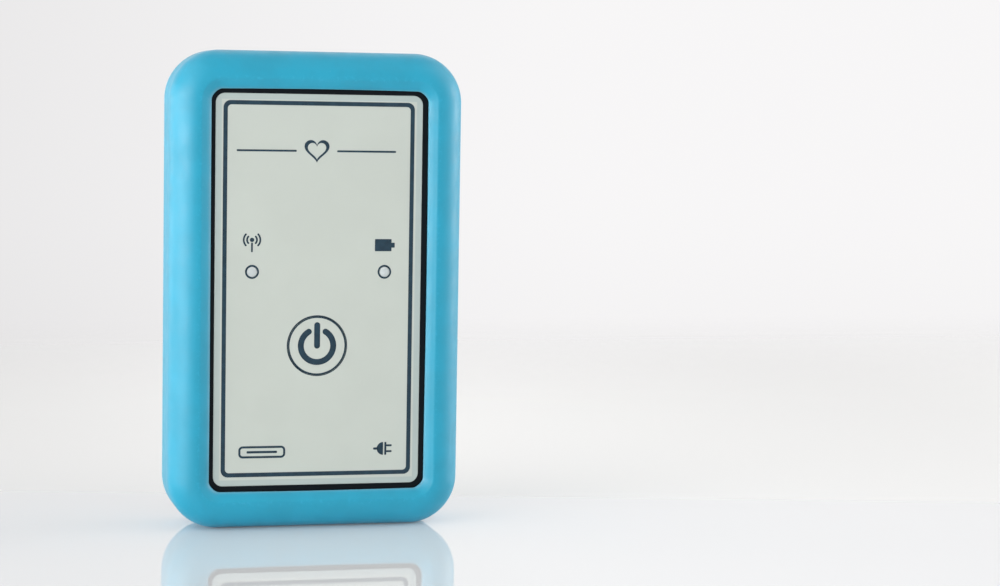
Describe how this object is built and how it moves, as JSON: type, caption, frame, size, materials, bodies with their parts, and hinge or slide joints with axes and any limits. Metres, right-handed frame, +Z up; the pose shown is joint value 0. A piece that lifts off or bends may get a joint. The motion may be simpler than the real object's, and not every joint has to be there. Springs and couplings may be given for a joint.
{
  "type": "ecg home monitor",
  "caption": "Hand-held heart monitor box in a soft rounded sleeve, with a press key, two indicator lights and two sockets in its bottom edge.",
  "frame": {"origin": "middle of the sleeve's flat bottom edge, on which the monitor stands", "axes": "+Z up along the height, +X to the right seen from the front, the front face looks along -Y"},
  "size_m": [0.075, 0.0244, 0.1212],
  "materials": {
    "sleeve_silicone": "satin",
    "case_black": "fine texture",
    "film_pale": "satin film",
    "plastic_white": "moulded",
    "plastic_black": "moulded",
    "light_pipe": "clear white",
    "led_body": "moulded",
    "board_green": "lacquered",
    "socket_steel": "plated",
    "contact_gilt": "plated",
    "cell_foil": "foil",
    "foam_grey": "foam",
    "wire_red": "smooth",
    "chip_black": "moulded",
    "capacitor_tan": "ceramic",
    "screw_steel": "zinc plated"
  },
  "bodies": {
    "case": {"sleeve": "sleeve_silicone", "front_cover": "case_black", "rear_cover": "case_black", "front_overlay": "film_pale", "tact_switch": "socket_steel", "light_pipe_left": "light_pipe", "light_pipe_right": "light_pipe", "led_left": "led_body", "led_right": "led_body", "main_board": "board_green", "lead_socket_shell": "socket_steel", "lead_socket_core": "plastic_black", "lead_socket_contacts": "contact_gilt", "charge_socket_shell": "socket_steel", "charge_socket_core": "plastic_black", "charge_socket_contacts": "contact_gilt", "battery_cell": "cell_foil", "battery_pad": "foam_grey", "battery_leads": "wire_red", "battery_plug": "plastic_white", "battery_header": "plastic_white", "radio_module": "cell_foil", "front_end_chip": "chip_black", "controller_chip": "chip_black", "memory_chip": "chip_black", "charger_coil": "chip_black", "board_crystal": "socket_steel", "chip_capacitors": "capacitor_tan", "board_screws": "screw_steel", "case_screws": "screw_steel"},
    "power_key": {"power_key_face": "film_pale", "key_actuator": "plastic_white", "switch_button": "plastic_black"}
  },
  "joints": [
    {"name": "power_key_press", "type": "slide", "parent": "case", "child": "power_key", "axis": [0, 1, 0], "range_m": [0, 0.0003], "stiffness_N_per_m": 1000}
  ]
}
